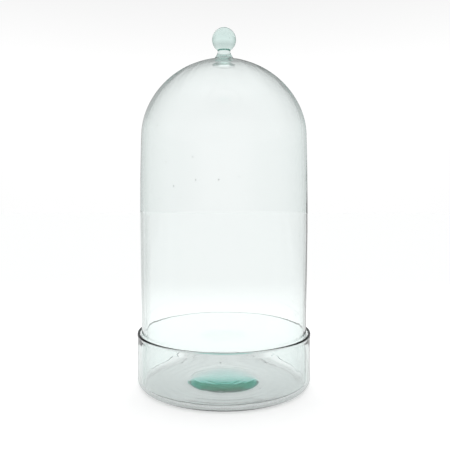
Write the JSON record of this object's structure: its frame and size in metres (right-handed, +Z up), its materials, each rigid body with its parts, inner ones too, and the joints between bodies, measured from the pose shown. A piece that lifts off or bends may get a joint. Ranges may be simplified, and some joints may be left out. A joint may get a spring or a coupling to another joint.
{
  "type": "glass cloche",
  "caption": "Tall hand-blown glass bell with a ball knob, standing inside a shallow round glass dish with a thick green pontil boss in its floor.",
  "frame": {"origin": "centre of the dish's resting face, on the surface that it stands on", "axes": "+Z up along the axis of the bell and the dish; the object is round, and -Y is the side towards which the boss is off-centre"},
  "size_m": [0.2084, 0.2084, 0.4298],
  "materials": {
    "bell_glass": "gloss",
    "dish_glass": "gloss",
    "green_glass": "gloss"
  },
  "bodies": {
    "dish_body": {"dish": "dish_glass", "pontil_boss": "green_glass"},
    "bell_body": {"bell": "bell_glass", "knob": "bell_glass"}
  },
  "joints": [
    {"name": "bell_lift", "type": "slide", "parent": "dish_body", "child": "bell_body", "axis": [0, 0, 1], "range_m": [0, 0.4]}
  ]
}
